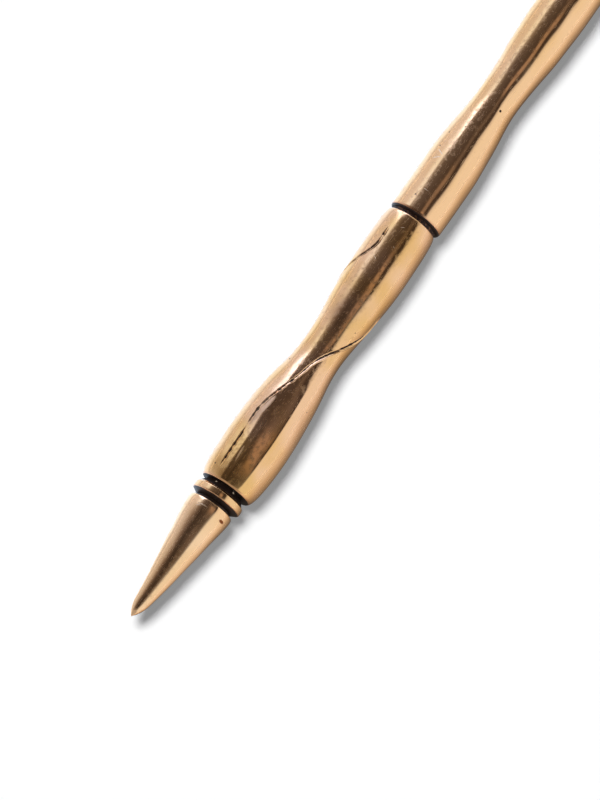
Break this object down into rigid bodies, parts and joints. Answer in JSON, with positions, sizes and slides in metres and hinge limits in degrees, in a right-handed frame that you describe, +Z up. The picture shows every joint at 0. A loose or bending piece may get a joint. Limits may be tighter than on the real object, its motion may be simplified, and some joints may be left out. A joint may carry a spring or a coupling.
{
  "type": "roman stylus",
  "caption": "Bronze writing stylus for wax tablets: conical point and bead, waisted grip with winding incised lines, waisted shaft and a flat spatula eraser.",
  "frame": {"origin": "middle of the stylus's box, on the surface that its thickest ring rests on", "axes": "+X along the stylus from the tip to the eraser, +Z up and square to the eraser's blade, +Y across the blade"},
  "size_m": [0.131, 0.0106, 0.0087],
  "materials": {
    "polished_bronze": "cast and turned tin bronze, worn to a polish",
    "patinated_bronze": "tin bronze left dark with patina"
  },
  "bodies": {
    "root": {"writing_point": "polished_bronze", "point_bead": "polished_bronze", "grip": "polished_bronze", "joint_dowel": "patinated_bronze", "shaft": "polished_bronze", "eraser_bead": "polished_bronze", "eraser": "polished_bronze"}
  },
  "joints": []
}
